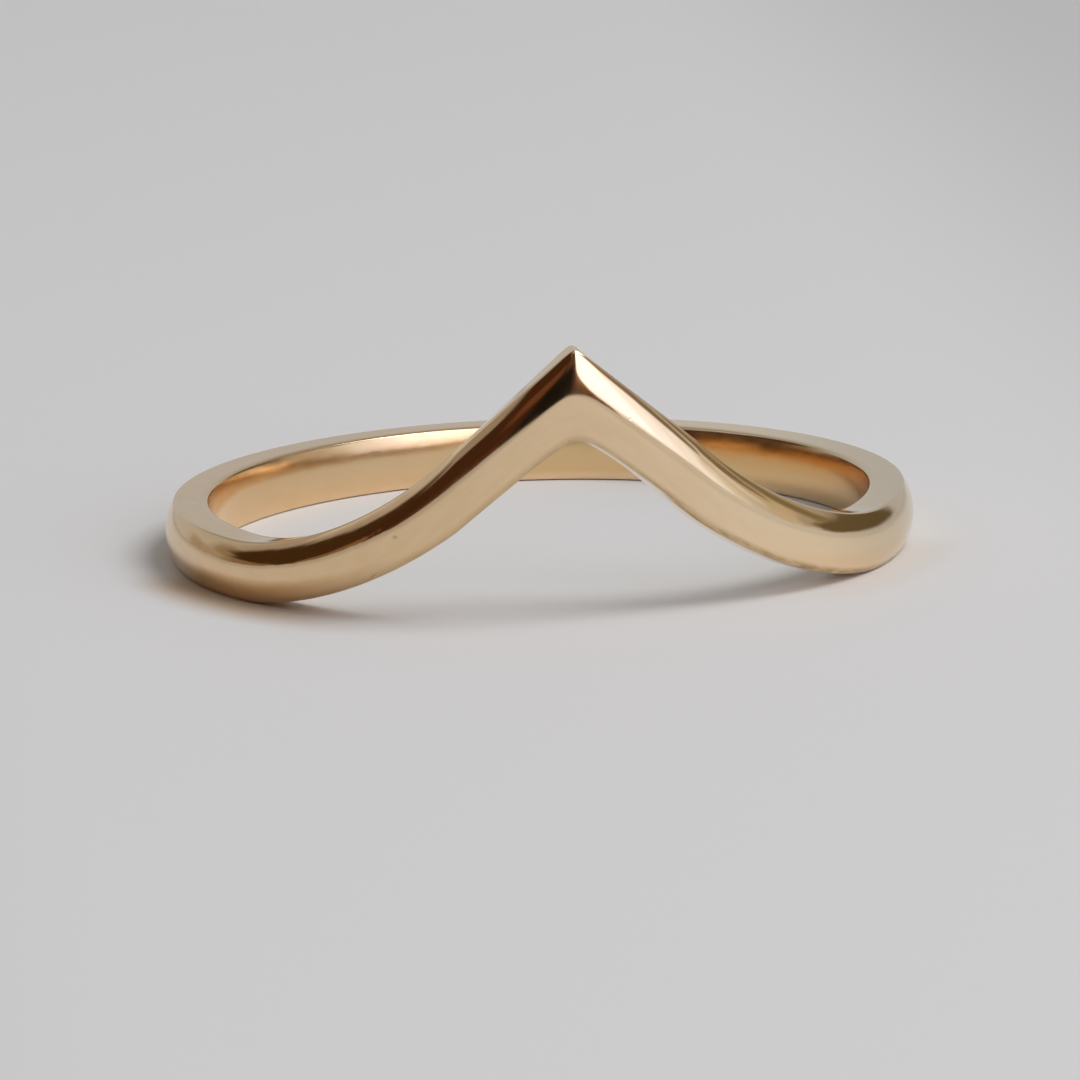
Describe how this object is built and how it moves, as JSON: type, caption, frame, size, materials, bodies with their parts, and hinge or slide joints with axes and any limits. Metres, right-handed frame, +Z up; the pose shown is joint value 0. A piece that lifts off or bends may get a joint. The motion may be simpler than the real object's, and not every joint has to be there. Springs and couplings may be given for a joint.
{
  "type": "chevron ring",
  "caption": "Slim polished finger ring whose rounded band rises to a pointed V at the front; it lies on its side on the flat shank.",
  "frame": {"origin": "on the axis of the finger hole, in the plane that the lower side face of the shank rests on", "axes": "+Z up along the axis of the finger hole, -Y towards the peak of the chevron (the front), +X to the right as seen from the front"},
  "size_m": [0.0194, 0.0194, 0.0069],
  "materials": {
    "polished_gold": "hand-polished yellow gold of about 14 carat, high gloss with faint hairline scratches and a few tiny pits"
  },
  "bodies": {
    "root": {"band": "polished_gold"}
  },
  "joints": []
}
